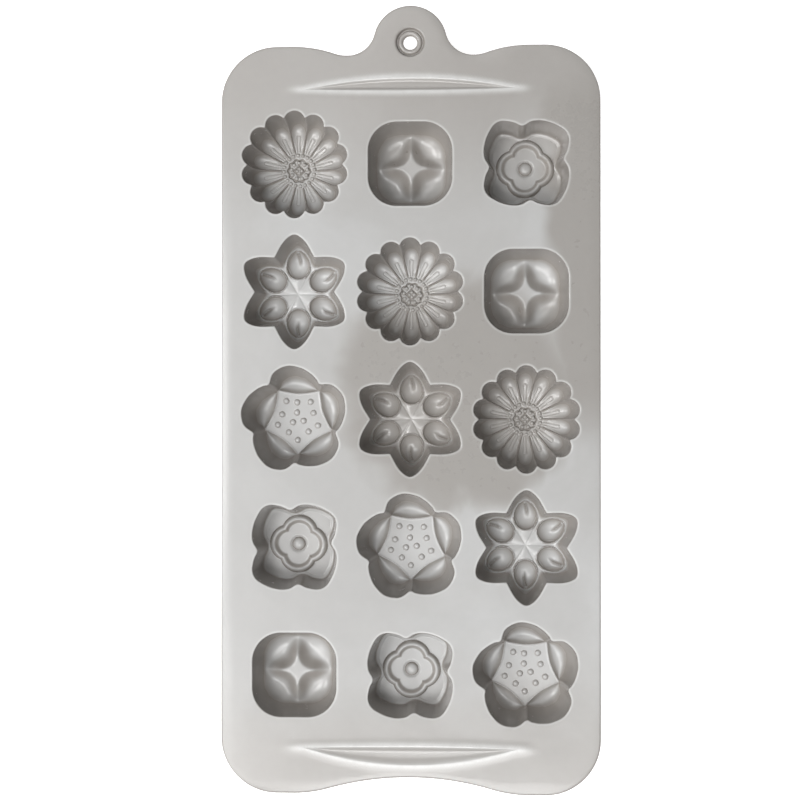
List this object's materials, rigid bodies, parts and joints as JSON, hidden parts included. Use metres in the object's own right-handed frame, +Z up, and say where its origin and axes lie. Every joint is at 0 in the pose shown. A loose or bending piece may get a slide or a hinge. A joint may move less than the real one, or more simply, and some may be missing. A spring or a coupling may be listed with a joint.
{
  "type": "silicone soap mould",
  "caption": "Flexible silicone tray of flower, star and pillow shaped casting cups with a hang tab and two finger grips, for soap, wax or resin.",
  "frame": {"origin": "centre of the tray's footprint, on the plane that the cup bottoms stand on", "axes": "+Z up out of the open cavities, +Y along the tray towards the hang tab, +X across the tray"},
  "size_m": [0.106, 0.2202, 0.015],
  "materials": {
    "silicone": "satin"
  },
  "bodies": {
    "root": {"web_panel": "silicone", "top_end_panel": "silicone", "bottom_end_panel": "silicone", "hang_eye": "silicone", "grip_top": "silicone", "grip_bottom": "silicone", "cup_daisy_1": "silicone", "cup_pillow_1": "silicone", "cup_rose_1": "silicone", "cup_star_1": "silicone", "cup_daisy_2": "silicone", "cup_pillow_2": "silicone", "cup_plum_1": "silicone", "cup_star_2": "silicone", "cup_daisy_3": "silicone", "cup_rose_2": "silicone", "cup_plum_2": "silicone", "cup_star_3": "silicone", "cup_pillow_3": "silicone", "cup_rose_3": "silicone", "cup_plum_3": "silicone"}
  },
  "joints": []
}
